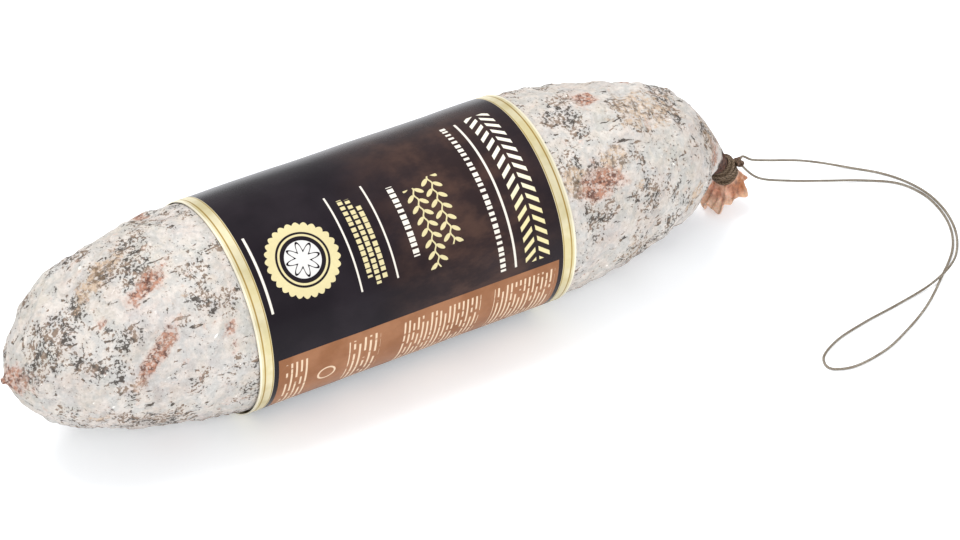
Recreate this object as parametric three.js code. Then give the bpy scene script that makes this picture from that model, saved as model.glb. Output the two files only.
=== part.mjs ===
// A dry-cured sausage lying on its side: the mould-bloomed body, a printed paper band round its
// middle, a twine tie on its gathered neck, and the knot and long loop that it hangs by.
// Millimetres, +Z up. +X runs along the sausage towards the tied end, and the origin is the
// centre of the flat underside that it rests on.

import * as THREE from 'three';

// ---- Sizes ----

const BAND_DIAMETER = 63;        // outside of the paper band
const BAND_LENGTH = 102;
const BAND_THICKNESS = 0.3;
const FIT_GAP = 0.3;             // air left between two pieces that sit together
const REST_WIDTH = 14;           // the flat that the sausage has settled onto

const DOME_LENGTH = 63.5;        // from the band's edge to the closed end
const NUB_DIAMETER = 2.4;        // the dried stub of casing on the closed end
const NUB_LENGTH = 1.5;
const NUB_ROUNDING = 0.3;
const ARCH_HEIGHT = 1.7;         // how far the dome's middle stands up from the table
const ARCH_START = 5;            // it starts to rise this far from the closed end,
const ARCH_TOP = 25;             // has its full height this far from it,
const ARCH_FADE = 12;            // and sinks again over this much beside the band
const SHOULDER_LENGTH = 72;      // from the band's edge to the middle of the tie
const NECK_DIAMETER = 5.6;
const NECK_HEIGHT = 14.2;        // middle of the tie above the table
const NECK_ANGLE = 60;           // degrees that the neck points down at the tie
const BEND_LENGTH = 44;          // the end of the shoulder over which the middle line sinks

const FRILL_LENGTH = 9.5;        // loose casing beyond the tie
const FRILL_WIDTH = 19;
const FRILL_DEPTH = 9;
const FRILL_ANGLE = 100;         // degrees that the frill points down at its hem
const FRILL_LEAN = 2;            // how far the hem leans to the -Y side
const FRILL_STEPS = 5;
const HEM_LENGTH = 0.9;          // the frill's rolled end, past its widest ring
const HEM_INSET = 1.5;
const HEM_CROWN = 0.2;
const RUFFLE_COUNT = 7;
const RUFFLE_DEPTH = 0.12;       // as a share of the local radius

const LUMP_DEPTH = 0.5;          // the filling's low bumps, outside the band
const LUMP_WAVES = [9, 7];       // lengths of the two waves that make them
const LUMP_TWISTS = [3, 2];      // how many times each wave goes round
const LUMP_FADE = 10;            // they rise from nothing over this much beside the band
const PLEAT_COUNT = 12;          // gathers in the casing where the tie draws it in
const PLEAT_DEPTH = 0.09;        // as a share of the local radius
const PLEAT_REACH = 20;          // how far the gathers run back from the tie
const PLEAT_FADE = 3;            // and how far before the tie they start to close up

const TWINE_DIAMETER = 1;        // the twine wound round the neck
const TIE_TURNS = 5;
const KNOT_SIZE = [3, 2.8, 2.4];
const KNOT_TURN = 20;            // degrees round the neck, from its upper side to the -Y side

const LOOP_DIAMETER = 0.8;
const LOOP_SIDES = 8;
const LOOP_STEPS = 80;

const BODY_SEGMENTS = 48;        // faces round each piece, and rings along the body
const BODY_RINGS = 44;
const BAND_SEGMENTS = 96;
const TIE_SEGMENTS = 24;
const KNOT_SEGMENTS = [16, 12];

// Middle of the loop's string: out of the knot, down to the table, round and back to the knot.
const LOOP_ROUTE = [
  [129.1, -1.1, 17.5], [133, -0.6, 14.6], [140, 0.6, 11], [147, 1.8, 7.7], [154, 2.4, 4.6],
  [161, 1.4, 1.8], [168.5, -4, 0.5], [175, -11.2, 0.5], [179, -18.5, 0.5], [181, -26.5, 0.5],
  [180.8, -34.5, 0.5], [179, -41.8, 0.6], [176, -48.3, 0.9], [171.6, -54.6, 1.4], [166.6, -59.6, 1.9],
  [160.6, -62.9, 1.8], [153.5, -64.8, 0.9], [141, -66.9, 0.5], [127, -69, 0.5], [115, -72, 0.5],
  [107.6, -76.6, 0.5], [106.6, -81, 0.5], [112, -83.9, 0.5], [125, -82.6, 0.5], [136.5, -78, 0.5],
  [147, -72.4, 0.5], [154.4, -67.2, 0.5], [160.4, -62.4, 0.5], [165.8, -58.2, 0.5], [170.7, -53.6, 0.5],
  [175, -47.7, 0.5], [177.9, -41.4, 0.5], [179.6, -34.3, 0.5], [179.7, -26.6, 0.5], [176.5, -18.2, 0.5],
  [168.4, -11.6, 0.5], [157, -6.8, 1.6], [145.6, -4.2, 4.2], [134, -3, 9], [128.4, -2.4, 15.2],
];

// ---- Measures that follow from them ----

const bandRadius = BAND_DIAMETER / 2;
const bandInnerRadius = bandRadius - BAND_THICKNESS;
const bodyRadius = bandInnerRadius - FIT_GAP;
const bodyUnderside = BAND_THICKNESS + FIT_GAP;
const axisHeight = Math.sqrt(bandRadius ** 2 - (REST_WIDTH / 2) ** 2);
const neckRadius = NECK_DIAMETER / 2;
const tipX = -BAND_LENGTH / 2 - DOME_LENGTH;
const tieX = BAND_LENGTH / 2 + SHOULDER_LENGTH;
const tieLength = TIE_TURNS * TWINE_DIAMETER;

const radians = THREE.MathUtils.degToRad;
const ease = THREE.MathUtils.smoothstep;

// ---- The sausage's middle line ----

function downward(angle) {
  return new THREE.Vector3(Math.cos(radians(angle)), 0, -Math.sin(radians(angle)));
}

function makeSpine() {
  const tip = new THREE.Vector3(tipX, 0, axisHeight);
  const bendStart = new THREE.Vector3(tieX - BEND_LENGTH, 0, axisHeight);
  const tie = new THREE.Vector3(tieX, 0, NECK_HEIGHT);
  const tieEnd = tie.clone().addScaledVector(downward(NECK_ANGLE), tieLength / 2);
  const hem = tieEnd.clone().addScaledVector(downward(FRILL_ANGLE), FRILL_LENGTH);
  hem.y -= FRILL_LEAN;
  const spine = new THREE.CurvePath();
  spine.add(new THREE.LineCurve3(tip, bendStart));
  spine.add(new THREE.CubicBezierCurve3(
    bendStart,
    bendStart.clone().add(new THREE.Vector3(BEND_LENGTH / 2, 0, 0)),
    tie.clone().addScaledVector(downward(NECK_ANGLE), -BEND_LENGTH / 4),
    tie,
  ));
  spine.add(new THREE.LineCurve3(tie, tieEnd));
  spine.add(new THREE.QuadraticBezierCurve3(
    tieEnd, tieEnd.clone().addScaledVector(downward(NECK_ANGLE), FRILL_LENGTH / 2), hem,
  ));
  return spine;
}

const spine = makeSpine();
const spineLength = spine.getLength();
const [bendStation, tieStation, tieEndStation] = spine.getCurveLengths();
const tieStartStation = tieStation - tieLength / 2;

// How far a cross-section is turned down from upright, in radians, at a place along the spine.
function tiltAt(station) {
  const share = THREE.MathUtils.clamp((station - bendStation) / (tieStation - bendStation), 0, 1);
  const frillShare = ease(station, tieEndStation, spineLength);
  return radians(NECK_ANGLE * share ** 3 + (FRILL_ANGLE - NECK_ANGLE) * frillShare);
}

// How far the middle line stands above the band's own, between the closed end and the band.
function archAt(station) {
  return ARCH_HEIGHT * ease(station, ARCH_START, ARCH_TOP)
    * (1 - ease(station, DOME_LENGTH - ARCH_FADE, DOME_LENGTH));
}

// Carries a point given as (across, along, up) from a straight sausage onto the spine.
function ontoSpine(across, station, up) {
  const share = THREE.MathUtils.clamp(station / spineLength, 0, 1);
  const tilt = tiltAt(station);
  const point = spine.getPoint(share);
  point.x += up * Math.sin(tilt);
  point.y += across;
  point.z += up * Math.cos(tilt) + archAt(station);
  return point;
}

// Reshapes a lathe turned about its Y axis: change(radius, angle, station) gives each point's
// new radii across and up, and the section is then carried onto the spine.
function latheOnSpine(profile, segments, change) {
  const geometry = new THREE.LatheGeometry(profile, segments);
  const position = geometry.attributes.position;
  for (let i = 0; i < position.count; i += 1) {
    const station = position.getY(i);
    const radius = Math.hypot(position.getX(i), position.getZ(i));
    const angle = Math.atan2(position.getX(i), position.getZ(i));
    const [across, up] = change(radius, angle, station);
    const point = ontoSpine(across * Math.cos(angle), station, up * Math.sin(angle));
    position.setXYZ(i, point.x, point.y, point.z);
  }
  geometry.computeVertexNormals();
  return geometry;
}

function namedMesh(name, geometry, color, roughness) {
  const material = new THREE.MeshStandardMaterial({ color, roughness, metalness: 0 });
  const mesh = new THREE.Mesh(geometry, material);
  mesh.name = name;
  return mesh;
}

// ---- Sausage body ----

// Shares of the dome's length and of the body's radius, from the nub to the band's edge.
const DOME_OUTLINE = [
  [0.03, 0.15], [0.09, 0.365], [0.19, 0.575], [0.33, 0.735], [0.49, 0.845], [0.7, 0.94], [0.88, 0.98],
];
// The same for the shoulder, from the band's edge to the neck.
const SHOULDER_OUTLINE = [
  [0.08, 0.99], [0.2, 0.965], [0.36, 0.91], [0.52, 0.81], [0.65, 0.675], [0.76, 0.485], [0.85, 0.27],
  [0.93, 0.1],
];

function bodyProfile() {
  const nubRadius = NUB_DIAMETER / 2;
  const bandStart = DOME_LENGTH;
  const bandEnd = DOME_LENGTH + BAND_LENGTH;
  const shoulder = tieStartStation - bandEnd;
  const points = [
    [0, 0], [nubRadius - NUB_ROUNDING, 0], [nubRadius, NUB_ROUNDING], [nubRadius, NUB_LENGTH],
  ];
  const dome = DOME_OUTLINE.map(([along, out]) => [
    nubRadius + (bodyRadius - nubRadius) * out, NUB_LENGTH + (bandStart - NUB_LENGTH) * along,
  ]);
  const straight = [0, 0.25, 0.5, 0.75, 1].map((share) => [
    bodyRadius, bandStart + (bandEnd - bandStart) * share,
  ]);
  const neckSide = SHOULDER_OUTLINE.map(([along, out]) => [
    neckRadius + (bodyRadius - neckRadius) * out, bandEnd + shoulder * along,
  ]);
  const curve = [...dome, ...straight, ...neckSide, [neckRadius, bandEnd + shoulder]];
  const outline = new THREE.SplineCurve(curve.map(([r, s]) => new THREE.Vector2(r, s)));
  points.push(...outline.getPoints(BODY_RINGS).map((p) => [Math.min(p.x, bodyRadius), p.y]));
  points.push([neckRadius, tieStation], [neckRadius, tieEndStation]);
  const flare = FRILL_WIDTH / 2 - neckRadius;
  const flareLength = spineLength - HEM_LENGTH - tieEndStation;
  for (let step = 1; step <= FRILL_STEPS; step += 1) {
    const share = step / FRILL_STEPS;
    const out = Math.sin((share * Math.PI) / 2);
    points.push([neckRadius + flare * out, tieEndStation + flareLength * share]);
  }
  points.push([FRILL_WIDTH / 2 - HEM_INSET, spineLength - HEM_CROWN], [0, spineLength]);
  return points.map(([r, s]) => new THREE.Vector2(r, s));
}

// Low bumps of the filling, never proud of the plain outline and none beneath the band.
function lumpAt(angle, station) {
  const fromBand = Math.abs(station - DOME_LENGTH - BAND_LENGTH / 2) - BAND_LENGTH / 2;
  const fromEnds = ease(station, NUB_LENGTH, LUMP_FADE)
    * (1 - ease(station, tieStartStation - PLEAT_REACH, tieStartStation));
  const wave = Math.sin(LUMP_TWISTS[0] * angle + station / LUMP_WAVES[0])
    * Math.sin(LUMP_TWISTS[1] * angle - station / LUMP_WAVES[1]);
  return -LUMP_DEPTH * ease(fromBand, 0, LUMP_FADE) * fromEnds * (wave + 1) * 0.5;
}

function shapeBody(radius, angle, station) {
  const fullPleat = tieStartStation - PLEAT_FADE;
  const gather = ease(station, tieStartStation - PLEAT_REACH, fullPleat)
    * (1 - ease(station, fullPleat, tieStartStation));
  const pleat = PLEAT_DEPTH * gather * (Math.cos(PLEAT_COUNT * angle) - 1) * 0.5;
  const round = radius * (1 + pleat) + lumpAt(angle, station);
  const inFrill = ease(station, tieEndStation, spineLength - HEM_LENGTH);
  const flat = 1 + (FRILL_DEPTH / FRILL_WIDTH - 1) * inFrill;
  const ruffle = 1 - RUFFLE_DEPTH * inFrill * (1 + Math.cos(RUFFLE_COUNT * angle));
  return [round * flat * ruffle, round * ruffle];
}

function salamiBody() {
  const geometry = latheOnSpine(bodyProfile(), BODY_SEGMENTS, shapeBody);
  const position = geometry.attributes.position;
  for (let i = 0; i < position.count; i += 1) {
    position.setZ(i, Math.max(position.getZ(i), bodyUnderside));
  }
  geometry.computeVertexNormals();
  return namedMesh('salami_body', geometry, 0xd9cfc4, 0.9);
}

// ---- Paper band ----

// A circle with its underside cut flat, as a path drawn anticlockwise.
function settledCircle(PathClass, radius, underside) {
  const flatHalf = Math.sqrt(radius ** 2 - (axisHeight - underside) ** 2);
  const start = Math.atan2(underside - axisHeight, flatHalf);
  const path = new PathClass();
  path.absarc(0, axisHeight, radius, start, Math.PI - start, false);
  path.closePath();
  return path;
}

function labelBand() {
  const section = settledCircle(THREE.Shape, bandRadius, 0);
  section.holes.push(settledCircle(THREE.Path, bandInnerRadius, BAND_THICKNESS));
  const geometry = new THREE.ExtrudeGeometry(section, {
    depth: BAND_LENGTH, steps: 1, bevelEnabled: false, curveSegments: BAND_SEGMENTS,
  });
  geometry.translate(0, 0, -BAND_LENGTH / 2);
  geometry.rotateY(Math.PI / 2);
  geometry.rotateX(Math.PI / 2);
  return namedMesh('label_band', geometry, 0x1d1a1e, 0.3);
}

// ---- Twine tie and its knot ----

function neckTie() {
  const inner = neckRadius + FIT_GAP;
  const strand = TWINE_DIAMETER / 2;
  const profile = [[inner, tieStartStation], [inner + strand, tieStartStation]];
  for (let turn = 0; turn < TIE_TURNS; turn += 1) {
    for (const degrees of [150, 90, 30]) {
      profile.push([
        inner + strand * (1 + Math.sin(radians(degrees))),
        tieStartStation + strand * (2 * turn + 1 + Math.cos(radians(degrees))),
      ]);
    }
  }
  profile.push([inner + strand, tieEndStation], [inner, tieEndStation], [inner, tieStartStation]);
  const points = profile.map(([r, s]) => new THREE.Vector2(r, s));
  const geometry = latheOnSpine(points, TIE_SEGMENTS, (radius) => [radius, radius]);
  return namedMesh('neck_tie', geometry, 0x4a3a2c, 0.85);
}

function tieKnot() {
  const [length, width, height] = KNOT_SIZE;
  const geometry = new THREE.SphereGeometry(0.5, ...KNOT_SEGMENTS);
  geometry.scale(length, width, height);
  const outward = neckRadius + FIT_GAP + TWINE_DIAMETER + FIT_GAP + height / 2;
  const turn = radians(KNOT_TURN);
  const place = ontoSpine(-outward * Math.sin(turn), tieStation, outward * Math.cos(turn));
  geometry.rotateX(turn);
  geometry.rotateY(tiltAt(tieStation));
  geometry.translate(place.x, place.y, place.z);
  return namedMesh('tie_knot', geometry, 0x4a3a2c, 0.85);
}

// ---- Hanging loop ----

function hangingLoop() {
  const route = new THREE.CatmullRomCurve3(
    LOOP_ROUTE.map(([x, y, z]) => new THREE.Vector3(x, y, z)), false, 'centripetal',
  );
  const section = new THREE.Shape();
  for (let side = 0; side < LOOP_SIDES; side += 1) {
    const angle = (2 * Math.PI * side) / LOOP_SIDES;
    const x = (LOOP_DIAMETER / 2) * Math.cos(angle);
    const y = (LOOP_DIAMETER / 2) * Math.sin(angle);
    if (side === 0) section.moveTo(x, y);
    else section.lineTo(x, y);
  }
  section.closePath();
  const geometry = new THREE.ExtrudeGeometry(section, { steps: LOOP_STEPS, extrudePath: route });
  return namedMesh('hanging_loop', geometry, 0x6a6258, 0.8);
}

const sausage = new THREE.Group();
sausage.name = 'cured_sausage';
sausage.add(salamiBody(), labelBand(), neckTie(), tieKnot(), hangingLoop());

export default sausage;
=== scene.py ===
# A dry-cured sausage on a pale table: mould-bloomed casing, a printed paper band round its middle,
# a twine tie on the gathered neck, and a long loop of string lying on the table.
# Metres, +Z up, +X along the sausage towards the tied end.

import math

import bpy
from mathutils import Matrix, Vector, noise


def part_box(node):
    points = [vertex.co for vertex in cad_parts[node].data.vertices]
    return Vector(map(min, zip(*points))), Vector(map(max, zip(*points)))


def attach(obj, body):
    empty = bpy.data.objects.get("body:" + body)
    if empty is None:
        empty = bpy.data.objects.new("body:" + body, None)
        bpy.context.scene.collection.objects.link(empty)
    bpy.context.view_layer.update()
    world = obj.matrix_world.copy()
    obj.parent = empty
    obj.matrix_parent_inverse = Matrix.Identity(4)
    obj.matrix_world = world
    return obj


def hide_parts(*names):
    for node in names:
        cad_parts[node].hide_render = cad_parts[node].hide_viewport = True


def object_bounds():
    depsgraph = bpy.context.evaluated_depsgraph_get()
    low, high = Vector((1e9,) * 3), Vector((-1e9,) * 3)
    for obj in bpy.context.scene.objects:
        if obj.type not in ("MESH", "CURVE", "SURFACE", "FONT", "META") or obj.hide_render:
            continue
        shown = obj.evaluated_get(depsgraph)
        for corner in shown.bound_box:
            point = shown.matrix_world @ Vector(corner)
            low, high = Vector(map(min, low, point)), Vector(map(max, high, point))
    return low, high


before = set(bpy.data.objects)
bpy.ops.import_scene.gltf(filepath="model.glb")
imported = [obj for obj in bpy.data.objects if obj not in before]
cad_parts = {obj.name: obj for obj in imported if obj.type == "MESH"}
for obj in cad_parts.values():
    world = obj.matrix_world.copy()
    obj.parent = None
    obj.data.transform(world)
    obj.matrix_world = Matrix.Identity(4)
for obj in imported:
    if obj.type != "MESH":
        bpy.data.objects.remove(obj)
cad_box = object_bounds()

MM = 0.001

BAND_LOW, BAND_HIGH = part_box("label_band")
TIE_LOW, TIE_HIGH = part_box("neck_tie")
KNOT_LOW, KNOT_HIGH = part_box("tie_knot")

BAND_RADIUS = (BAND_HIGH.y - BAND_LOW.y) / 2
BAND_END = BAND_HIGH.x
AXIS_HEIGHT = BAND_HIGH.z - BAND_RADIUS
TIE_CENTRE = (TIE_LOW + TIE_HIGH) / 2
KNOT_CENTRE = (KNOT_LOW + KNOT_HIGH) / 2
NECK_SLANT = math.radians(60)
NECK_WAY = Vector((math.cos(NECK_SLANT), 0, -math.sin(NECK_SLANT)))
TIE_LENGTH = 5 * MM

LOOP_DIAMETER = 0.8 * MM
TWINE_DIAMETER = 1 * MM

# The string's middle line, from inside the knot down to the table, round and back to the knot.
LOOP_ROUTE = [
    (0.1291, -0.0011, 0.0175), (0.133, -0.0006, 0.0146), (0.140, 0.0006, 0.011),
    (0.147, 0.0018, 0.0077), (0.154, 0.0024, 0.0046), (0.161, 0.0014, 0.0018),
    (0.1685, -0.004, 0.0005), (0.175, -0.0112, 0.0005), (0.179, -0.0185, 0.0005),
    (0.181, -0.0265, 0.0005), (0.1808, -0.0345, 0.0005), (0.179, -0.0418, 0.0006),
    (0.176, -0.0483, 0.0009), (0.1716, -0.0546, 0.0014), (0.1666, -0.0596, 0.0019),
    (0.1606, -0.0629, 0.0018), (0.1535, -0.0648, 0.0009), (0.141, -0.0669, 0.0005),
    (0.127, -0.069, 0.0005), (0.115, -0.072, 0.0005), (0.1076, -0.0766, 0.0005),
    (0.1066, -0.081, 0.0005), (0.112, -0.0839, 0.0005), (0.125, -0.0826, 0.0005),
    (0.1365, -0.078, 0.0005), (0.147, -0.0724, 0.0005), (0.1544, -0.0672, 0.0005),
    (0.1604, -0.0624, 0.0005), (0.1658, -0.0582, 0.0005), (0.1707, -0.0536, 0.0005),
    (0.175, -0.0477, 0.0005), (0.1779, -0.0414, 0.0005), (0.1796, -0.0343, 0.0005),
    (0.1797, -0.0266, 0.0005), (0.1765, -0.0182, 0.0005), (0.1684, -0.0116, 0.0005),
    (0.157, -0.0068, 0.0016), (0.1456, -0.0042, 0.0042), (0.134, -0.003, 0.009),
    (0.1284, -0.0024, 0.0152),
]


# ---- Working habits ----

def only(*objects):
    """Nothing but these objects is selected, and the first is the active one."""
    bpy.ops.object.select_all(action="DESELECT")
    for item in objects:
        item.select_set(True)
    bpy.context.view_layer.objects.active = objects[0]


def edit(item, kind="FACE"):
    only(item)
    bpy.ops.object.mode_set(mode="EDIT")
    bpy.ops.mesh.select_mode(type=kind)


def leave_edit():
    bpy.ops.object.mode_set(mode="OBJECT")


def settle(item):
    """Puts the piece's place, turn and size into its mesh."""
    only(item)
    bpy.ops.object.transform_apply(location=True, rotation=True, scale=True)


def apply_all(item):
    only(item)
    for modifier in list(item.modifiers):
        bpy.ops.object.modifier_apply(modifier=modifier.name)


def face_out(item):
    edit(item)
    bpy.ops.mesh.select_all(action="SELECT")
    bpy.ops.mesh.normals_make_consistent(inside=False)
    leave_edit()


def pick(item, kind, wanted):
    """Selects the vertices or faces of a piece that wanted() says yes to."""
    edit(item, kind)
    bpy.ops.mesh.select_all(action="DESELECT")
    leave_edit()
    for part in (item.data.vertices if kind == "VERT" else item.data.polygons):
        part.select = bool(wanted(part))
    bpy.ops.object.mode_set(mode="EDIT")


def dress(item, material, body="root"):
    item.data.materials.clear()
    item.data.materials.append(material)
    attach(item, body)


def ease(value, start, end):
    share = min(max((value - start) / (end - start), 0), 1)
    return share * share * (3 - 2 * share)


# ---- Camera ----

def add_camera():
    place = Vector((-0.3897, -0.7216, 0.6577))
    bpy.ops.object.camera_add(location=place)
    camera = bpy.context.object
    camera.name = "camera"
    camera.rotation_euler = (Vector((0.0377, 0, 0.0094)) - place).to_track_quat("-Z", "Y").to_euler()
    camera.data.sensor_width = 36
    camera.data.lens = 135.3
    camera.data.clip_start = 0.05
    camera.data.clip_end = 20
    bpy.context.scene.camera = camera


add_camera()


# ---- Shader boards ----

class Board:
    """A node tree with short ways to add and join its nodes."""

    def __init__(self, tree):
        self.tree = tree

    def add(self, kind, settings=None, **inputs):
        node = self.tree.nodes.new(kind)
        for name, value in (settings or {}).items():
            setattr(node, name, value)
        for name, value in inputs.items():
            self.feed(node.inputs[name.replace("_", " ")], value)
        return node

    def feed(self, socket, value):
        if isinstance(value, bpy.types.NodeSocket):
            self.tree.links.new(value, socket)
        else:
            socket.default_value = value

    def math(self, how, *values):
        node = self.tree.nodes.new("ShaderNodeMath")
        node.operation = how
        for socket, value in zip(node.inputs, values):
            self.feed(socket, value)
        return node.outputs[0]

    def vector(self, how, *values):
        node = self.tree.nodes.new("ShaderNodeVectorMath")
        node.operation = how
        for socket, value in zip(node.inputs, values):
            self.feed(socket, value)
        return node.outputs[0]

    def mix(self, share, first, second, how="MIX"):
        node = self.tree.nodes.new("ShaderNodeMix")
        node.data_type = "RGBA"
        node.blend_type = how
        self.feed(node.inputs["Factor"], share)
        self.feed(node.inputs["A"], first)
        self.feed(node.inputs["B"], second)
        return node.outputs["Result"]

    def ramp(self, value, low, high, start=0.0, end=1.0):
        node = self.tree.nodes.new("ShaderNodeMapRange")
        node.interpolation_type = "SMOOTHSTEP"
        for name, given in (("Value", value), ("From Min", low), ("From Max", high),
                            ("To Min", start), ("To Max", end)):
            self.feed(node.inputs[name], given)
        return node.outputs["Result"]

    def cloud(self, where, scale, detail=3.0, roughness=0.55):
        node = self.add("ShaderNodeTexNoise", Vector=where, Scale=scale, Detail=detail,
                        Roughness=roughness)
        return node.outputs["Fac"]

    def place(self):
        return self.add("ShaderNodeTexCoord").outputs["Object"]

    def use(self, group, **inputs):
        node = self.tree.nodes.new("ShaderNodeGroup")
        node.node_tree = group
        for name, value in inputs.items():
            self.feed(node.inputs[name.replace("_", " ")], value)
        return node.outputs


def new_group(name, takes, gives):
    """A shader node group with its named sockets, as a board and the inner sockets."""
    tree = bpy.data.node_groups.new(name, "ShaderNodeTree")
    for label, kind, value in takes:
        socket = tree.interface.new_socket(name=label, in_out="INPUT", socket_type="NodeSocket" + kind)
        if value is not None:
            socket.default_value = value
    for label, kind in gives:
        tree.interface.new_socket(name=label, in_out="OUTPUT", socket_type="NodeSocket" + kind)
    board = Board(tree)
    inner = tree.nodes.new("NodeGroupInput").outputs
    outer = tree.nodes.new("NodeGroupOutput").inputs
    return tree, board, inner, outer


def new_material(name, **values):
    material = bpy.data.materials.new(name)
    material.use_nodes = True
    board = Board(material.node_tree)
    shader = material.node_tree.nodes["Principled BSDF"]
    for label, value in values.items():
        board.feed(shader.inputs[label.replace("_", " ")], value)
    return material, board, shader


def bump(board, shader, height, strength, distance):
    node = board.add("ShaderNodeBump", Height=height, Strength=strength, Distance=distance)
    board.feed(shader.inputs["Normal"], node.outputs["Normal"])


def fine_grain_group():
    """Small dry grain, as a height and as a light and dark cast over a colour."""
    tree, board, inner, outer = new_group(
        "fine grain",
        [("Color", "Color", (0.5, 0.5, 0.5, 1)), ("Size", "Float", 1.0), ("Cast", "Float", 0.2)],
        [("Color", "Color"), ("Height", "Float")],
    )
    place = board.vector("SCALE", board.place())
    board.feed(place.node.inputs["Scale"], board.math("DIVIDE", 1.0, inner["Size"]))
    coarse = board.cloud(place, 900.0, 4.0, 0.65)
    fine = board.cloud(place, 2600.0, 2.0, 0.6)
    height = board.math("ADD", board.math("MULTIPLY", coarse, 0.65), board.math("MULTIPLY", fine, 0.35))
    shade = board.ramp(height, 0.3, 0.7, -1.0, 1.0)
    light = board.math("ADD", 1.0, board.math("MULTIPLY", shade, inner["Cast"]))
    tint = board.add("ShaderNodeCombineColor", Red=light, Green=light, Blue=light).outputs[0]
    board.feed(outer["Color"], board.mix(1.0, inner["Color"], tint, "MULTIPLY"))
    board.feed(outer["Height"], height)
    return tree


def blotch_group():
    """Ragged-edged blotches of one size, more or less of them."""
    tree, board, inner, outer = new_group(
        "blotches",
        [("Scale", "Float", 100.0), ("Share", "Float", 0.5), ("Softness", "Float", 0.05),
         ("Shift", "Vector", None)],
        [("Mask", "Float")],
    )
    place = board.vector("ADD", board.place(), inner["Shift"])
    value = board.cloud(place, inner["Scale"], 5.0, 0.6)
    edge = board.math("SUBTRACT", 1.0, inner["Share"])
    low = board.math("SUBTRACT", edge, inner["Softness"])
    high = board.math("ADD", edge, inner["Softness"])
    board.feed(outer["Mask"], board.ramp(value, low, high))
    return tree


FINE_GRAIN = fine_grain_group()
BLOTCHES = blotch_group()


# ---- String and twine ----

def smooth_path(points, spacing):
    """Points close together on the smooth line through the given ones."""
    points = [Vector(p) for p in points]
    ends = [points[0] * 2 - points[1], *points, points[-1] * 2 - points[-2]]
    line = []
    for group in zip(ends, ends[1:], ends[2:], ends[3:]):
        knots = [0.0]
        for a, b in zip(group, group[1:]):
            knots.append(knots[-1] + math.sqrt((b - a).length))
        steps = max(2, round((group[2] - group[1]).length / spacing))
        for step in range(steps):
            t = knots[1] + (knots[2] - knots[1]) * step / steps
            a, b, c = (
                group[i].lerp(group[i + 1], (t - knots[i]) / (knots[i + 1] - knots[i])) for i in range(3))
            d = a.lerp(b, (t - knots[0]) / (knots[2] - knots[0]))
            e = b.lerp(c, (t - knots[1]) / (knots[3] - knots[1]))
            line.append(d.lerp(e, (t - knots[1]) / (knots[2] - knots[1])))
    line.append(points[-1])
    return line


def twisted_strand(name, line, diameter, plies, pitch, sides=12, depth=0.2):
    """A tube of twisted plies along a line of close points, with closed ends and a length map."""
    radius = diameter / 2
    across = Vector((0, 0, 1))
    points, faces, map_places = [], [], []
    run = 0.0
    for i, centre in enumerate(line):
        way = (line[min(i + 1, len(line) - 1)] - line[max(i - 1, 0)]).normalized()
        across = (across - way * across.dot(way)).normalized()
        side = way.cross(across)
        if i:
            run += (centre - line[i - 1]).length
        turn = 2 * math.pi * run / pitch
        for k in range(sides):
            angle = 2 * math.pi * k / sides
            lobe = abs(math.cos(plies * (angle - turn) / 2))
            out = radius * (1 - depth + depth * lobe)
            points.append(centre + (across * math.cos(angle) + side * math.sin(angle)) * out)
            map_places.append((run, angle / (2 * math.pi)))
    for i in range(len(line) - 1):
        for k in range(sides):
            a, b = i * sides + k, i * sides + (k + 1) % sides
            faces.append((a, b, b + sides, a + sides))
    last = (len(line) - 1) * sides
    faces.append(tuple(reversed(range(sides))))
    faces.append(tuple(last + k for k in range(sides)))
    mesh = bpy.data.meshes.new(name)
    mesh.from_pydata([tuple(p) for p in points], [], faces)
    uv = mesh.uv_layers.new(name="along")
    for loop in mesh.loops:
        uv.data[loop.index].uv = map_places[loop.vertex_index]
    strand = bpy.data.objects.new(name, mesh)
    bpy.context.collection.objects.link(strand)
    face_out(strand)
    bpy.ops.object.shade_smooth()
    return strand


def twine_material(name, light, dark, stain, pitch, plies, roughness=0.85):
    """Twisted natural fibre: lighter on the plies, with painted shade darkening the grooves between them, and
    stained in places.
    """
    material, board, shader = new_material(name, Roughness=roughness, Specular_IOR_Level=0.25)
    along = board.add("ShaderNodeSeparateXYZ", Vector=board.add(
        "ShaderNodeUVMap", {"uv_map": "along"}).outputs["UV"]).outputs
    turn = board.math("SUBTRACT", along["Y"], board.math("DIVIDE", along["X"], pitch))
    lobe = board.math("ABSOLUTE", board.math("COSINE", board.math("MULTIPLY", turn, math.pi * plies)))
    fibre = board.cloud(board.place(), 3200.0, 3.0, 0.6)
    blotch = board.use(BLOTCHES, Scale=160.0, Share=0.45, Softness=0.12)["Mask"]
    # Painted shade: the dark colour fills the grooves between the plies, the light colour the ply tops.
    cord_color = board.mix(board.ramp(lobe, 0.15, 0.8), dark, light)
    cord_color = board.mix(board.math("MULTIPLY", blotch, 0.7), cord_color, stain)
    grain = board.use(FINE_GRAIN, Color=cord_color, Size=0.7, Cast=0.3)
    board.feed(shader.inputs["Base Color"], grain["Color"])
    height = board.math("ADD", lobe, board.math("MULTIPLY", fibre, 0.5))
    bump(board, shader, height, 0.7, 0.00012)
    return material


LOOP_PITCH = 2.4 * MM
TWINE_PITCH = 3.0 * MM
LOOP_STRING = twine_material(
    "loop string", (0.30, 0.26, 0.21, 1), (0.085, 0.075, 0.06, 1), (0.17, 0.135, 0.10, 1), LOOP_PITCH, 3)
# The tie's twine is a darker copy of the loop string's: partly stained twine, partly painted shade where the
# windings sit by the pinched neck.
STAINED_SHADED_TIE_TWINE = twine_material(
    "stained and shaded tie twine", (0.18, 0.125, 0.08, 1), (0.03, 0.018, 0.012, 1), (0.075, 0.028, 0.02, 1),
    TWINE_PITCH, 3, 0.6)


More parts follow.
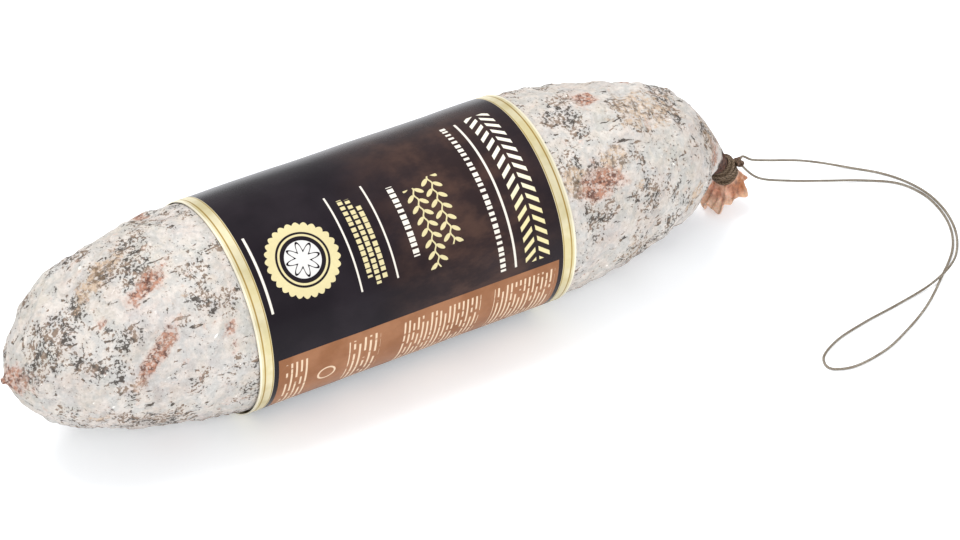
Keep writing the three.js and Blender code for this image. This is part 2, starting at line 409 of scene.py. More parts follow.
def hanging_loop():
    route = [Vector(p) for p in LOOP_ROUTE]
    inward = [route[0].lerp(KNOT_CENTRE, 0.8), *route, route[-1].lerp(KNOT_CENTRE, 0.8)]
    line = smooth_path(inward, 0.3 * MM)
    loop = twisted_strand("hanging_string", line, LOOP_DIAMETER, 3, LOOP_PITCH, 10, 0.18)
    dress(loop, LOOP_STRING)
    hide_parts("hanging_loop")


hanging_loop()


NECK_RADIUS = 2.75 * MM
NECK_UP = Vector((math.sin(NECK_SLANT), 0, math.cos(NECK_SLANT)))
FRONT = Vector((0, -1, 0))


def by_neck(run, out, turn):
    """A point by the neck: run along it from the tie's middle, out from its line, turned round it."""
    return TIE_CENTRE + NECK_WAY * run + (NECK_UP * math.cos(turn) + FRONT * math.sin(turn)) * out


def neck_windings():
    """Turns of twine side by side round the neck, then three slanting turns laid over them."""
    under = NECK_RADIUS + 0.45 * MM
    turns, pitch = 5, 1.06 * MM
    line = []
    for step in range(turns * 48 + 1):
        share = step / (turns * 48)
        wander = 0.22 * MM * noise.noise(Vector((share * 11, 2, 0)))
        line.append(by_neck((share - 0.5) * turns * pitch + wander, under, 2 * math.pi * turns * share))
    for step in range(1, 3 * 56 + 1):
        share = step / (3 * 56)
        turn = 6 * math.pi * share
        settled = ease(share, 0, 0.25)
        run = turns * pitch / 2 * (1 - settled) + 1.7 * MM * math.sin(turn * 0.66 + 0.4) * settled
        out = under + 0.78 * MM * ease(share, 0, 0.12) + 0.12 * MM * math.sin(turn * 3.7)
        line.append(by_neck(run, out, turn))
    coils = twisted_strand("neck_windings", line, TWINE_DIAMETER, 3, TWINE_PITCH, 12, 0.26)
    dress(coils, STAINED_SHADED_TIE_TWINE)
    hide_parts("neck_tie")


def knot():
    """A small overhand knot of the same twine, pulled down onto the windings."""
    middle = KNOT_CENTRE - NECK_UP * 0.2 * MM
    line = []
    for step in range(141):
        t = 2 * math.pi * 0.985 * step / 140
        a = (math.sin(t) + 2 * math.sin(2 * t)) / 3
        b = (math.cos(t) - 2 * math.cos(2 * t)) / 3
        c = -math.sin(3 * t)
        line.append(middle + NECK_WAY * a * 1.45 * MM + FRONT * b * 1.45 * MM + NECK_UP * c * 0.72 * MM)
    tied = twisted_strand("tie_overhand_knot", line, TWINE_DIAMETER, 3, TWINE_PITCH, 12, 0.26)
    dress(tied, STAINED_SHADED_TIE_TWINE)
    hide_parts("tie_knot")


neck_windings()
knot()


# ---- Sausage body ----

# Places where the bloom is thin or gone: along the sausage, degrees round it from the top towards
# the front, length, width (mm), slant (degrees) and strength.
BARE_PLACES = [
    (-74, 25, 15, 5, 30, 1.0), (-78, 64, 19, 5.5, 48, 1.0), (-113, 60, 8, 12, 0, 0.9),
    (-57, 62, 6, 4, 60, 0.8), (-57, 74, 7, 3, 80, 0.65), (64, 57, 15, 8, 5, 1.25),
    (72, 2, 8, 7, 0, 0.95), (113, 100, 12, 10, 0, 0.55), (-90, 36, 7, 3, 30, 0.5),
    (-70, 150, 16, 8, 30, 0.9), (-88, -60, 14, 6, 50, 0.95), (-66, -105, 18, 8, 20, 0.9),
    (-62, -35, 7, 5, 70, 0.7), (78, -70, 16, 8, 40, 0.95), (66, -120, 12, 7, 10, 0.9),
    (92, -30, 8, 6, 60, 0.7), (80, 170, 15, 7, 25, 0.8), (86, 30, 5, 3, 30, 0.55),
]
TAN_PLACES = [
    (-85, 6, 21, 8, 25, 0.95), (70, 47, 10, 9, 60, 1.35), (55, 52, 9, 10, 0, 1.2),
    (-95, 112, 10, 6, 20, 0.75), (88, 17, 34, 18, 15, 0.85), (98, 100, 12, 5, 40, 0.9),
    (-84, 78, 9, 6, 50, 0.75), (-74, -85, 14, 8, 40, 0.8), (86, -95, 14, 9, 15, 0.8),
    (60, 130, 10, 6, 20, 0.7), (-100, -130, 12, 8, 0, 0.7), (72, 110, 16, 11, 10, 0.55),
    (76, 66, 12, 6, 30, 0.5), (-68, 40, 10, 5, 40, 0.5), (112, 60, 9, 20, 0, 0.7),
]


def round_place(co):
    """Along the sausage, and degrees round its line from the top towards the front."""
    return co.x, math.degrees(math.atan2(-co.y, co.z - AXIS_HEIGHT))


def place_strength(co, places):
    """How strongly a point lies in one of the listed places, fading to nothing outside."""
    along, turn = round_place(co)
    radius = math.hypot(co.y, co.z - AXIS_HEIGHT)
    best = 0.0
    for x, angle, length, width, slant, strength in places:
        apart = (turn - angle + 180) % 360 - 180
        dx, ds = along / MM - x, math.radians(apart) * radius / MM
        c, s = math.cos(math.radians(slant)), math.sin(math.radians(slant))
        u, v = (dx * c - ds * s) / (length / 2), (dx * s + ds * c) / (width / 2)
        best = max(best, strength * (1 - ease(math.hypot(u, v), 0.2, 1.7)))
    return best


def paint_weights(item, name, weight):
    """A vertex group whose weight at each point is weight(place)."""
    group = item.vertex_groups.new(name=name)
    for vertex in item.data.vertices:
        group.add([vertex.index], min(max(weight(vertex.co), 0), 1), "REPLACE")
    return group


def paint_attribute(item, name, value):
    layer = item.data.attributes.new(name, "FLOAT", "POINT")
    for vertex in item.data.vertices:
        layer.data[vertex.index].value = value(vertex.co)


def press(item, kind, size, strength, group, seed, stretch=(1, 1, 1), turn=(0, 0, 0), middle=0.5,
          **settings):
    """Raises and sinks a surface by a cloud of one size, stretched and turned by a helper empty."""
    texture = bpy.data.textures.new("press", kind)
    texture.noise_scale = size
    for name, value in settings.items():
        setattr(texture, name, value)
    bpy.ops.object.empty_add(location=(seed, seed * 0.7, seed * 0.3), rotation=turn)
    helper = bpy.context.object
    helper.scale = stretch
    only(item)
    modifier = item.modifiers.new("press", "DISPLACE")
    modifier.texture = texture
    modifier.texture_coords = "OBJECT"
    modifier.texture_coords_object = helper
    modifier.strength = strength
    modifier.mid_level = middle
    modifier.vertex_group = group
    bpy.context.view_layer.update()
    bpy.ops.object.modifier_apply(modifier=modifier.name)
    bpy.data.objects.remove(helper)
    bpy.data.textures.remove(texture)


def sink(item, strength, group):
    only(item)
    modifier = item.modifiers.new("sink", "DISPLACE")
    modifier.strength = -strength
    modifier.mid_level = 0
    modifier.vertex_group = group
    bpy.ops.object.modifier_apply(modifier=modifier.name)


def sausage_body():
    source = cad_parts["salami_body"]
    only(source)
    bpy.ops.object.duplicate()
    body = bpy.context.object
    body.name = "cured_body"
    world = body.matrix_world.copy()
    body.parent = None
    body.matrix_world = world
    for key in list(body.keys()):
        del body[key]
    body.hide_render = False
    body.hide_viewport = False
    edit(body, "VERT")
    bpy.ops.mesh.select_all(action="SELECT")
    bpy.ops.mesh.remove_doubles(threshold=0.00001)
    bpy.ops.mesh.tris_convert_to_quads(face_threshold=math.radians(60), shape_threshold=math.radians(60))
    cut = TIE_CENTRE + NECK_WAY * (TIE_LENGTH / 2 + 0.4 * MM)
    bpy.ops.mesh.bisect(plane_co=cut, plane_no=NECK_WAY, clear_outer=True, use_fill=True)
    leave_edit()
    only(body)
    rounding = body.modifiers.new("rounding", "SUBSURF")
    rounding.levels = rounding.render_levels = 1
    apply_all(body)
    edge = BAND_END - 3 * MM
    pick(body, "FACE", lambda face: abs(face.center.x) > edge and face.center.x < TIE_LOW.x + 3 * MM)
    bpy.ops.mesh.subdivide(number_cuts=2)
    leave_edit()

    tip = cad_box[0].x

    def beside_band(co, fade):
        return ease(abs(co.x), BAND_END + 0.3 * MM, BAND_END + fade)

    def off_ends(co):
        from_neck = 1 - ease(co.x, TIE_LOW.x - 12 * MM, TIE_LOW.x - 1 * MM)
        return ease(co.x, tip + 1.5 * MM, tip + 9 * MM) * from_neck

    def puckered(co):
        ridge = 0.5 - 0.5 * math.cos(math.radians(round_place(co)[1]) * 9 + co.x * 120)
        return ridge * ease(co.x, tip + 2 * MM, tip + 5 * MM) * (1 - ease(co.x, tip + 6 * MM, tip + 18 * MM))

    paint_weights(body, "loose", lambda co: beside_band(co, 10 * MM) * off_ends(co))
    paint_weights(body, "casing", lambda co: beside_band(co, 3 * MM) * (0.25 + 0.75 * off_ends(co))
                  * (co.x < TIE_LOW.x - 1 * MM))
    paint_weights(body, "bare", lambda co: place_strength(co, BARE_PLACES) * beside_band(co, 3 * MM))
    paint_weights(body, "pucker", puckered)

    press(body, "CLOUDS", 0.018, 0.0040, "loose", 0.31)
    press(body, "CLOUDS", 0.009, 0.0022, "loose", 0.73, (1.7, 1, 1), (0.5, 0.3, 0.6))
    press(body, "CLOUDS", 0.0046, 0.0010, "casing", 0.17, (2.6, 0.8, 1), (0.9, -0.4, 0.7), 0.4,
          noise_type="HARD_NOISE", noise_depth=3)
    press(body, "CLOUDS", 0.0022, 0.0005, "casing", 0.57, noise_depth=2)
    sink(body, 0.0004, "bare")
    sink(body, 0.0008, "pucker")

    only(body)
    body.vertex_groups.clear()
    paint_attribute(body, "bare", lambda co: place_strength(co, BARE_PLACES))
    paint_attribute(body, "tan", lambda co: place_strength(co, TAN_PLACES))
    # Towards the tie the casing turns near-black maroon: partly the dried, pinched casing's own colour,
    # partly painted shade in the pinch between body and tie.
    paint_attribute(body, "gathered", lambda co: ease((co - TIE_CENTRE).dot(NECK_WAY), -12.5 * MM, -7 * MM))
    floor = 0.15 * MM
    pick(body, "VERT", lambda vertex: vertex.co.z < floor)
    bpy.ops.transform.resize(value=(1, 1, 0), center_override=(0, 0, floor))
    leave_edit()
    only(body)
    bpy.ops.object.shade_smooth()
    # A cavity map from the dirt tool, dark in the surface's hollows and creases; the casing uses it below as
    # painted shade.
    body.data.color_attributes.new("hollows", "BYTE_COLOR", "POINT")
    body.data.color_attributes.active_color_name = "hollows"
    bpy.ops.paint.vertex_color_dirt(
        blur_strength=0.5, blur_iterations=0, clean_angle=math.radians(115), dirt_angle=math.radians(70))
    return body


def bloom_material():
    """White powdery mould over a dry casing, worn through to red meat and tan skin in places."""
    material, board, shader = new_material(
        "moulded casing", Specular_IOR_Level=0.12)
    place = board.place()

    def field(name):
        return board.add("ShaderNodeAttribute", {"attribute_name": name}).outputs["Fac"]

    tint = board.cloud(place, 70.0, 3.0, 0.6)
    bloom = board.mix(board.ramp(tint, 0.38, 0.62), (0.82, 0.785, 0.73, 1), (0.93, 0.91, 0.875, 1))
    pink = board.use(BLOTCHES, Scale=80.0, Share=0.46, Softness=0.07, Shift=(3.1, 0, 0))["Mask"]
    bloom = board.mix(board.math("MULTIPLY", pink, 0.3), bloom, (0.76, 0.63, 0.60, 1))
    green = board.use(BLOTCHES, Scale=60.0, Share=0.44, Softness=0.07, Shift=(0, 5.3, 0))["Mask"]
    bloom = board.mix(board.math("MULTIPLY", green, 0.3), bloom, (0.76, 0.77, 0.68, 1))
    violet = board.use(BLOTCHES, Scale=75.0, Share=0.42, Softness=0.07, Shift=(0, 1.3, 6.1))["Mask"]
    bloom = board.mix(board.math("MULTIPLY", violet, 0.2), bloom, (0.66, 0.61, 0.66, 1))
    white = board.use(BLOTCHES, Scale=420.0, Share=0.50, Softness=0.08, Shift=(0, 0, 2.2))["Mask"]
    bloom = board.mix(board.math("MULTIPLY", white, 0.5), bloom, (0.95, 0.935, 0.91, 1))

    # Painted shade: in the surface's hollows the casing is pulled towards the dark speck tone.
    hollow_shade_mask = board.ramp(field("hollows"), 0.44, 0.20)
    crowd = board.cloud(place, 85.0, 4.0, 0.6)
    share = board.ramp(crowd, 0.415, 0.61, 0.305, 0.452)
    pit = board.use(BLOTCHES, Scale=560.0, Share=share, Softness=0.012, Shift=(1.7, 2.9, 0))["Mask"]
    speck = board.use(BLOTCHES, Scale=1250.0, Share=board.math("ADD", share, 0.04), Softness=0.015,
                      Shift=(7.7, 0, 1.3))["Mask"]
    slant = board.add("ShaderNodeMapping", Vector=place, Rotation=(0.0, 0.42, -0.46),
                      Scale=(0.24, 1.0, 1.0)).outputs[0]
    crease = board.ramp(board.cloud(slant, 520.0, 4.0, 0.6), 0.62, 0.655)
    dark_tone = board.mix(board.ramp(board.cloud(place, 330.0, 2.0), 0.4, 0.6),
                          (0.04, 0.031, 0.025, 1), (0.20, 0.14, 0.10, 1))
    thin = board.math("MAXIMUM", board.math("MULTIPLY", pit, 0.95), board.math("MULTIPLY", speck, 0.92))
    thin = board.math("MAXIMUM", thin, board.math("MULTIPLY", crease, 0.95))
    # From here the thin-bloom mask also carries painted shade in the hollows, at half strength.
    thin = board.math("MAXIMUM", thin, board.math("MULTIPLY", hollow_shade_mask, 0.5))
    casing = board.mix(thin, bloom, dark_tone)

    wobble = board.math("SUBTRACT", board.cloud(place, 260.0, 6.0, 0.75), 0.5)
    tan_field = board.math("ADD", field("tan"), board.math("MULTIPLY", wobble, 3.0))
    bare_field = board.math("ADD", field("bare"), board.math("MULTIPLY", wobble, 3.0))
    fleck = board.ramp(board.cloud(place, 900.0, 4.0, 0.65), 0.56, 0.50, 0.2, 1.0)
    tan = board.math("MULTIPLY", board.ramp(tan_field, 0.46, 0.86), fleck)
    halo = board.ramp(bare_field, 0.22, 0.62)
    bare = board.math("MULTIPLY", board.ramp(bare_field, 0.48, 0.84), fleck)
    tan_tone = board.mix(board.ramp(board.cloud(place, 480.0, 3.0), 0.4, 0.58),
                         (0.16, 0.11, 0.07, 1), (0.52, 0.39, 0.28, 1))
    casing = board.mix(board.math("MULTIPLY", tan, 0.8), casing, tan_tone)
    casing = board.mix(board.math("MULTIPLY", halo, 0.42), casing, (0.60, 0.42, 0.35, 1))
    meat_share = board.ramp(board.cloud(place, 560.0, 4.0, 0.65), 0.41, 0.56)
    meat = board.mix(meat_share, (0.10, 0.04, 0.028, 1), (0.42, 0.205, 0.135, 1))
    casing = board.mix(board.math("MULTIPLY", bare, 0.9), casing, meat)
    # Near the tie the casing is mixed to near-black maroon: dark dried casing, plus painted shade in the
    # pinch by the tie.
    gathered = board.ramp(board.math("ADD", field("gathered"), board.math("MULTIPLY", wobble, 1.2)), 0.3, 0.6)
    casing = board.mix(board.math("MULTIPLY", gathered, 0.92), casing, board.mix(
        meat_share, (0.022, 0.009, 0.008, 1), (0.09, 0.035, 0.022, 1)))

    grain = board.use(FINE_GRAIN, Color=casing, Size=1.0, Cast=0.12)
    board.feed(shader.inputs["Base Color"], grain["Color"])
    board.feed(shader.inputs["Roughness"], board.math("SUBTRACT", 0.95, board.math("MULTIPLY", bare, 0.4)))
    powder = board.math("MULTIPLY", white, 0.6)
    relief = board.math("ADD", board.math("ADD", grain["Height"], powder),
                        board.math("MULTIPLY", board.math("ADD", thin, bare), -1.0))
    bump(board, shader, relief, 0.6, 0.0003)
    return material


body = sausage_body()
dress(body, bloom_material())
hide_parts("salami_body")


# ---- Loose casing beyond the tie ----

def casing_frill():
    """The gathered casing past the tie: a short ruffled cuff, longer where it hangs to the table."""
    bpy.ops.object.select_all(action="DESELECT")
    bpy.ops.mesh.primitive_circle_add(vertices=160, radius=NECK_RADIUS)
    frill = bpy.context.object
    frill.name = "casing_frill"
    start = TIE_CENTRE + NECK_WAY * 2.2 * MM
    frill.rotation_euler = (-NECK_WAY).to_track_quat("Z", "Y").to_euler()
    frill.location = start
    settle(frill)
    edit(frill, "EDGE")
    bpy.ops.mesh.select_all(action="SELECT")
    rings, rise = 22, 0.3 * MM
    for _ in range(rings):
        bpy.ops.mesh.extrude_region_move(TRANSFORM_OT_translate={"value": NECK_WAY * rise})
    leave_edit()
    for vertex in frill.data.vertices:
        rest = vertex.co - start
        angle = math.atan2(rest.dot(FRONT), rest.dot(NECK_UP))
        share = min(max(rest.dot(NECK_WAY) / (rings * rise), 0), 1)
        spread = share ** 0.85
        way = Vector((math.cos(angle), math.sin(angle), 0))
        crush = noise.noise(way * 1.9 + Vector((0, 0, share * 1.6 + 3)))
        fold = noise.noise(way * 3.4 + Vector((2, 1, share * 2.5)))
        fine = noise.noise(way * 8 + Vector((0, 5, share * 6)))
        swell = 1 + (0.16 * crush + 0.12 * fold + 0.05 * math.sin(6 * angle + 2 * crush)) * spread
        up = (NECK_RADIUS + (8.0 * MM - NECK_RADIUS) * spread) * swell * math.cos(angle) - 3.5 * MM * spread
        front = (NECK_RADIUS + (6.0 * MM - NECK_RADIUS) * spread) * swell * math.sin(angle)
        pleat = math.sin(6 * angle + 1.2 * math.sin(2 * angle)) + 0.5 * math.sin(11 * angle + 2)
        run = (2.2 + 5.4 * math.sin(share * 1.45) + (1.3 * pleat + 2.0 * fold + 0.5 * fine) * spread) * MM
        vertex.co = TIE_CENTRE + NECK_WAY * run + NECK_UP * up + FRONT * front
    pick(frill, "VERT", lambda vertex: vertex.co.z < 0.5 * MM)
    bpy.ops.transform.resize(value=(1, 1, 0.1), center_override=(0, 0, 0.5 * MM))
    leave_edit()
    paint_attribute(frill, "hem", lambda co: ease((co - by_neck(2.2 * MM, 0, 0)).length, 6 * MM, 10 * MM))
    paint_attribute(frill, "upper", lambda co: ease((co - TIE_CENTRE).dot(NECK_UP), -7 * MM, 2 * MM))
    only(frill)
    wall = frill.modifiers.new("wall", "SOLIDIFY")
    wall.thickness = 0.4 * MM
    wall.offset = 0
    rounding = frill.modifiers.new("rounding", "SUBSURF")
    rounding.levels = rounding.render_levels = 1
    apply_all(frill)
    face_out(frill)
    bpy.ops.object.shade_smooth()
    return frill


def frill_material():
    """Thin dried casing, orange-brown where meat has stained it and pale at its hem."""
    material, board, shader = new_material(
        "dried casing", Roughness=0.42, Specular_IOR_Level=0.5)
    shader.inputs["Subsurface Weight"].default_value = 0.35
    shader.inputs["Subsurface Radius"].default_value = (0.0012, 0.0005, 0.00025)
    place = board.place()
    stain = board.ramp(board.cloud(place, 260.0, 4.0, 0.6), 0.40, 0.60)
    upper = board.add("ShaderNodeAttribute", {"attribute_name": "upper"}).outputs["Fac"]
    dark = board.mix(upper, (0.32, 0.11, 0.058, 1), (0.11, 0.032, 0.011, 1))
    light = board.mix(upper, (0.66, 0.33, 0.22, 1), (0.38, 0.14, 0.052, 1))
    tone = board.mix(stain, dark, light)
    pale = board.use(BLOTCHES, Scale=200.0, Share=0.42, Softness=0.08, Shift=(4, 1, 0))["Mask"]
    tone = board.mix(board.math("MULTIPLY", pale, 0.45), tone, (0.80, 0.54, 0.40, 1))
    hem = board.add("ShaderNodeAttribute", {"attribute_name": "hem"}).outputs["Fac"]
    tone = board.mix(board.math("MULTIPLY", hem, 0.45), tone, (0.80, 0.60, 0.43, 1))
    grain = board.use(FINE_GRAIN, Color=tone, Size=0.8, Cast=0.18)
    board.feed(shader.inputs["Base Color"], grain["Color"])
    bump(board, shader, grain["Height"], 0.5, 0.0002)
    return material


frill = casing_frill()
dress(frill, frill_material())
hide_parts("salami_body")


# ---- Printed paper band ----

def paper_band():
    """The band: a settled tube of thin paper with its length and girth laid out as a map."""
    bpy.ops.object.select_all(action="DESELECT")
    bpy.ops.mesh.primitive_cylinder_add(
        vertices=256, radius=BAND_RADIUS - 0.15 * MM, depth=BAND_END - BAND_LOW.x, end_fill_type="NOTHING",
        location=(0, 0, AXIS_HEIGHT), rotation=(0, math.pi / 2, 0))
    band = bpy.context.object
    band.name = "printed_band"
    settle(band)
    for x in [BAND_LOW.x + (BAND_END - BAND_LOW.x) * share / 34 for share in range(1, 34)]:
        edit(band)
        bpy.ops.mesh.select_all(action="SELECT")
        bpy.ops.mesh.bisect(plane_co=(x, 0, 0), plane_no=(1, 0, 0))
        leave_edit()
    layout = band.data.uv_layers.new(name="layout")
    for face in band.data.polygons:
        middle = math.atan2(-face.center.y, face.center.z - AXIS_HEIGHT)
        for index in face.loop_indices:
            co = band.data.vertices[band.data.loops[index].vertex_index].co
            turn = math.atan2(-co.y, co.z - AXIS_HEIGHT)
            turn += 2 * math.pi * round((middle - turn) / (2 * math.pi))
            layout.data[index].uv = (co.x, turn * BAND_RADIUS)
    paint_weights(band, "whole", lambda co: 1 - ease(abs(co.z - AXIS_HEIGHT), 0.029, 0.031) * (co.z < 0.02))
    press(band, "CLOUDS", 0.026, 0.0005, "whole", 0.41)
    flat = BAND_LOW.z + 0.15 * MM
    pick(band, "VERT", lambda vertex: vertex.co.z < flat)
    bpy.ops.transform.resize(value=(1, 1, 0), center_override=(0, 0, flat))
    leave_edit()
    band.vertex_groups.clear()
    only(band)
    wall = band.modifiers.new("paper", "SOLIDIFY")
    wall.thickness = 0.3 * MM
    wall.offset = 0
    apply_all(band)
    only(band)
    bpy.ops.object.shade_smooth_by_angle(angle=math.radians(40))
    return band


def stripe_group():
    """A printed stripe: where a value is within half a width of a middle one."""
    tree, board, inner, outer = new_group(
        "stripe",
        [("Value", "Float", 0.0), ("Middle", "Float", 0.0), ("Half", "Float", 0.001),
         ("Edge", "Float", 0.00008)],
        [("Mask", "Float")],
    )
    away = board.math("ABSOLUTE", board.math("SUBTRACT", inner["Value"], inner["Middle"]))
    low = board.math("SUBTRACT", inner["Half"], inner["Edge"])
    high = board.math("ADD", inner["Half"], inner["Edge"])
    board.feed(outer["Mask"], board.ramp(away, high, low))
    return tree


STRIPE = stripe_group()


class Print:
    """Places printed shapes on the band's map, in millimetres along it and round it."""

    def __init__(self, board, along, girth):
        self.board, self.along, self.girth = board, along, girth

    def stripe(self, value, middle, half, edge=0.08):
        return self.board.use(STRIPE, Value=value, Middle=middle * MM, Half=half * MM, Edge=edge * MM)["Mask"]

    def times(self, *masks):
        result = masks[0]
        for mask in masks[1:]:
            result = self.board.math("MULTIPLY", result, mask)
        return result

    def block(self, x, y, width, height):
        """A plain block, width along the sausage and height round it, about a middle."""
        return self.times(self.stripe(self.along, x, width / 2), self.stripe(self.girth, y, height / 2))

    def marks(self, x, y, width, height, period, share, jitter=0.0, shift=0.0):
        """A row of small marks round the girth, of uneven lengths when jitter is given."""
        b = self.board
        steps = b.math("DIVIDE", b.math("ADD", self.girth, shift * MM), period * MM)
        inside = b.math("FRACT", steps)
        width_share = share
        if jitter:
            chance = b.add("ShaderNodeTexWhiteNoise", {"noise_dimensions": "1D"},
                           W=b.math("ADD", b.math("FLOOR", steps), x)).outputs["Value"]
            width_share = b.math("ADD", share - jitter, b.math("MULTIPLY", chance, 2 * jitter))
        mark = b.ramp(inside, b.math("ADD", width_share, 0.06), width_share)
        start = b.ramp(inside, 0.0, 0.06)
        return self.times(self.block(x, y, width, height), mark, start)

    def sprig(self, x, y, height, period):
        """A thin waving stem round the girth, with slanting leaves in turn on its two sides."""
        b = self.board
        wave = b.math("MULTIPLY", b.math("SINE", b.math(
            "MULTIPLY", self.girth, 2 * math.pi / (period * MM))), 0.35 * MM)
        shape = self.stripe(b.math("SUBTRACT", self.along, wave), x, 0.24)
        for side, shift in ((1, 0.0), (-1, 0.5)):
            steps = b.math("ADD", b.math("DIVIDE", self.girth, period * MM), shift)
            dy = b.math("MULTIPLY", b.math("SUBTRACT", b.math("FRACT", steps), 0.5), period)
            beside = b.math("SUBTRACT", self.along, x * MM)
            dx = b.math("SUBTRACT", b.math("MULTIPLY", beside, side / MM), 1.7)
            u = b.math("ADD", b.math("MULTIPLY", dx, 0.48), b.math("MULTIPLY", dy, 0.36))
            v = b.math("SUBTRACT", b.math("MULTIPLY", dy, 1.15), b.math("MULTIPLY", dx, 0.86))
            away = b.math("ADD", b.math("MULTIPLY", u, u), b.math("MULTIPLY", v, v))
            shape = b.math("MAXIMUM", shape, b.ramp(away, 0.85, 0.65))
        return self.times(shape, self.stripe(self.girth, y, height / 2))

    def from_middle(self, x, y):
        b = self.board
        dx = b.math("SUBTRACT", self.along, x * MM)
        dy = b.math("SUBTRACT", self.girth, y * MM)
        reach = b.math("SQRT", b.math("ADD", b.math("MULTIPLY", dx, dx), b.math("MULTIPLY", dy, dy)))
        return reach, b.math("ARCTAN2", dy, dx)


def band_material():
    """Glossy black paper with pale gold borders, a badge, leaf rows and a copper panel."""
    material, b, shader = new_material("printed band", Specular_IOR_Level=0.10)
    uv = b.add("ShaderNodeSeparateXYZ", Vector=b.add(
        "ShaderNodeUVMap", {"uv_map": "layout"}).outputs["UV"]).outputs
    p = Print(b, uv["X"], uv["Y"])
    place = b.place()

    ground = b.mix(b.ramp(b.cloud(place, 60.0, 3.0), 0.35, 0.7),
                   (0.0095, 0.007, 0.010, 1), (0.016, 0.012, 0.016, 1))
    warm = p.times(p.stripe(p.along, 20, 21, 16), p.stripe(p.girth, 22, 34, 16))
    stretched = b.vector("MULTIPLY", place, (1.0, 1.0, 1.9))
    swirl = b.ramp(b.cloud(stretched, 70.0, 4.0, 0.6), 0.38, 0.68, 0.25, 1.0)
    color = b.mix(p.times(warm, swirl), ground, (0.062, 0.034, 0.027, 1))

    copper_tone = b.mix(b.ramp(b.cloud(place, 110.0, 3.0), 0.35, 0.65),
                        (0.235, 0.099, 0.044, 1), (0.295, 0.136, 0.068, 1))
    copper = p.block(0, 64, 90.4, 30)
    color = b.mix(copper, color, copper_tone)
    reach, _ = p.from_middle(-29.6, 61)
    fine_print = p.stripe(reach, 2.6, 0.3)
    for x, width, turns in ((-39.5, 7.5, 1.55), (-18, 10, 1.7), (7, 25, 1.45), (34, 20, 1.45)):
        steps = b.math("DIVIDE", p.along, turns * MM)
        line = b.ramp(b.math("ABSOLUTE", b.math("SUBTRACT", b.math("FRACT", steps), 0.5)), 0.24, 0.14)
        words = b.add("ShaderNodeTexNoise", {"noise_dimensions": "2D"}, Scale=1.0, Detail=1.0, Vector=b.add(
            "ShaderNodeCombineXYZ", X=b.math("MULTIPLY", b.math("FLOOR", steps), 7.3),
            Y=b.math("MULTIPLY", p.girth, 330.0)).outputs[0]).outputs["Fac"]
        mask = p.times(line, b.ramp(words, 0.36, 0.44), p.block(x, 66, width, 29))
        fine_print = b.math("MAXIMUM", fine_print, mask)
    color = b.mix(b.math("MULTIPLY", fine_print, 0.85), color, (0.74, 0.58, 0.42, 1))

    cream = b.math("MAXIMUM", p.block(-44.6, 23, 0.75, 23), p.block(31, 21.5, 0.7, 49.5))
    cream = b.math("MAXIMUM", cream, p.block(-17.3, 22.4, 0.55, 29.4))
    cream = b.math("MAXIMUM", cream, p.block(-5.8, 22.3, 0.55, 29))
    cream = b.math("MAXIMUM", cream, p.marks(26.9, 21.5, 1.7, 49.5, 1.75, 0.6, 0.16))
    cream = b.math("MAXIMUM", cream, p.marks(1.4, 22, 1.9, 21.5, 1.7, 0.68, 0.12))

    gold = p.marks(-13.9, 22.0, 1.45, 24, 1.75, 0.72, 0.14)
    gold = b.math("MAXIMUM", gold, p.marks(-11.7, 23.5, 1.45, 26, 1.65, 0.70, 0.14, 0.6))
    gold = b.math("MAXIMUM", gold, p.marks(-9.5, 24.5, 1.45, 22, 1.85, 0.72, 0.14, 1.2))
    for x, y, height in ((13.4, 22.5, 21), (7.4, 26, 24)):
        gold = b.math("MAXIMUM", gold, p.sprig(x, y, height, 3.4))

    away = b.math("ABSOLUTE", b.math("SUBTRACT", p.along, 38.2 * MM))
    leaf_steps = b.math("FRACT", b.math("DIVIDE", b.math(
        "SUBTRACT", p.girth, b.math("MULTIPLY", away, 0.75)), 3.2 * MM))
    leaf = b.math("MULTIPLY", b.ramp(leaf_steps, 0.52, 0.44), b.ramp(leaf_steps, 0.0, 0.06))
    leaf_side = b.math("MULTIPLY", b.ramp(away, 4.0 * MM, 3.85 * MM), b.ramp(away, 0.45 * MM, 0.6 * MM))
    leaves = p.times(leaf, leaf_side, p.stripe(p.girth, 21, 25.4))

    reach, turn = p.from_middle(-31.2, 22.9)
    scallop = b.math("ABSOLUTE", b.math("COSINE", b.math("MULTIPLY", turn, 14.0)))
    rim = b.math("ADD", 10.1 * MM, b.math("MULTIPLY", scallop, 0.9 * MM))
    badge = p.times(b.ramp(reach, b.math("ADD", rim, 0.1 * MM), rim), b.ramp(reach, 7.9 * MM, 8.05 * MM))
    badge = b.math("MAXIMUM", badge, p.stripe(reach, 7.0, 0.3))
    gold = b.math("MAXIMUM", gold, badge)
    wave = b.math("COSINE", b.math("MULTIPLY", turn, 8.0))
    petal = b.math("ADD", 3.6 * MM, b.math("MULTIPLY", wave, 1.3 * MM))
    off_petal = b.math("ABSOLUTE", b.math("SUBTRACT", reach, petal))
    silver = p.times(b.ramp(reach, 5.5 * MM, 5.35 * MM), b.ramp(off_petal, 0.28 * MM, 0.42 * MM))

    color = b.mix(cream, color, (0.70, 0.66, 0.59, 1))
    color = b.mix(silver, color, (0.62, 0.61, 0.60, 1))
    color = b.mix(gold, color, (0.68, 0.60, 0.34, 1))
    leaf_tone = b.mix(b.ramp(p.girth, 14 * MM, 34 * MM), (0.76, 0.73, 0.62, 1), (0.68, 0.60, 0.33, 1))
    color = b.mix(leaves, color, leaf_tone)

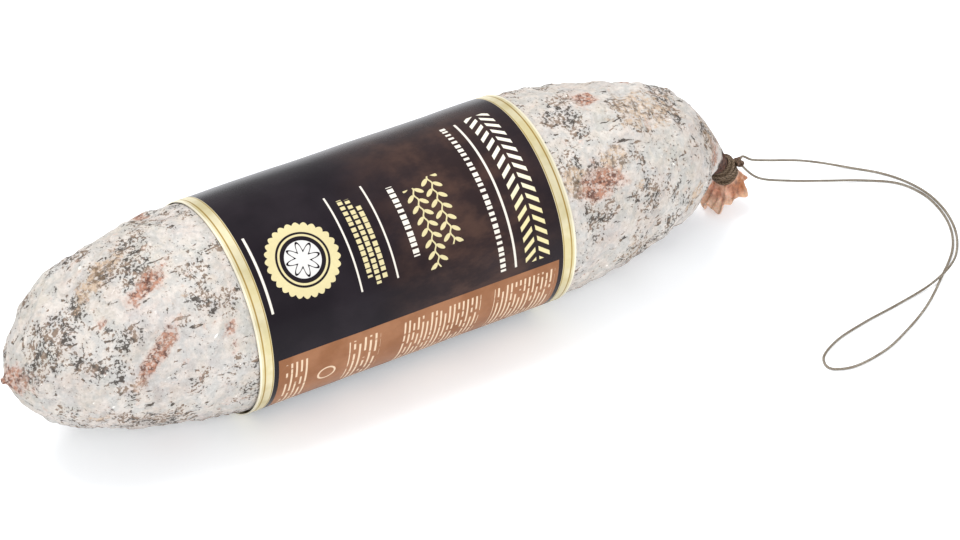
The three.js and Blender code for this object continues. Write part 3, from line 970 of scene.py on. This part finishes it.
    across = b.math("ABSOLUTE", p.along)
    border = b.ramp(across, 46.6 * MM, 46.75 * MM)
    ochre = b.math("MAXIMUM", p.stripe(across, 49.5, 0.22), p.stripe(across, 47.0, 0.14))
    foil = b.mix(b.ramp(b.cloud(place, 140.0, 2.0), 0.35, 0.65),
                 (0.57, 0.50, 0.285, 1), (0.65, 0.59, 0.40, 1))
    foil = b.mix(ochre, foil, (0.33, 0.22, 0.06, 1))
    foil = b.mix(b.ramp(across, 50.3 * MM, 50.5 * MM), foil, (0.75, 0.70, 0.55, 1))
    color = b.mix(border, color, foil)

    grain = b.use(FINE_GRAIN, Color=color, Size=1.3, Cast=0.03)
    b.feed(shader.inputs["Base Color"], grain["Color"])
    metal = b.math("MAXIMUM", b.math("MULTIPLY", border, 0.55), b.math("MULTIPLY", gold, 0.3))
    b.feed(shader.inputs["Metallic"], metal)
    b.feed(shader.inputs["Roughness"], b.ramp(b.math("MAXIMUM", copper, border), 0.0, 1.0, 0.27, 0.36))
    raised = b.math("MAXIMUM", b.math("MAXIMUM", gold, leaves), b.math("MAXIMUM", cream, border))
    height = b.math("ADD", raised, b.math("MULTIPLY", grain["Height"], 0.25))
    bump(b, shader, height, 0.25, 0.00008)
    return material


band = paper_band()
dress(band, band_material())
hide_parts("label_band")


# ---- Table and light ----

def table():
    bpy.ops.object.select_all(action="DESELECT")
    bpy.ops.mesh.primitive_plane_add(size=8, location=(0, 0, 0))
    floor = bpy.context.object
    floor.name = "table"
    material, board, shader = new_material(
        "white table", Base_Color=(0.885, 0.9, 0.92, 1), Roughness=0.8, Specular_IOR_Level=0.1,
        Emission_Color=(0.93, 0.97, 1.0, 1), Emission_Strength=0.19)
    floor.data.materials.append(material)


def soft_light(name, place, aim, size, power, tone=(1, 1, 1)):
    bpy.ops.object.light_add(type="AREA", location=place)
    light = bpy.context.object
    light.name = name
    light.rotation_euler = (Vector(aim) - Vector(place)).to_track_quat("-Z", "Y").to_euler()
    light.data.shape = "RECTANGLE"
    light.data.size, light.data.size_y = size
    light.data.energy = power
    light.data.color = tone


table()
soft_light("key_softbox", (-0.22, 0.5, 1.6), (0, 0, 0.02), (0.9, 0.9), 21)
soft_light("front_fill", (-0.35, -1.3, 0.9), (0, 0, 0.02), (1.4, 0.9), 13.5)
soft_light("side_fill", (1.3, 0.1, 0.9), (0.03, 0, 0.02), (0.9, 0.9), 3)

world = bpy.data.worlds.new("studio")
bpy.context.scene.world = world
world.use_nodes = True
world.node_tree.nodes["Background"].inputs["Color"].default_value = (1, 1, 1, 1)
world.node_tree.nodes["Background"].inputs["Strength"].default_value = 0.72
bpy.context.scene.view_settings.view_transform = "Standard"
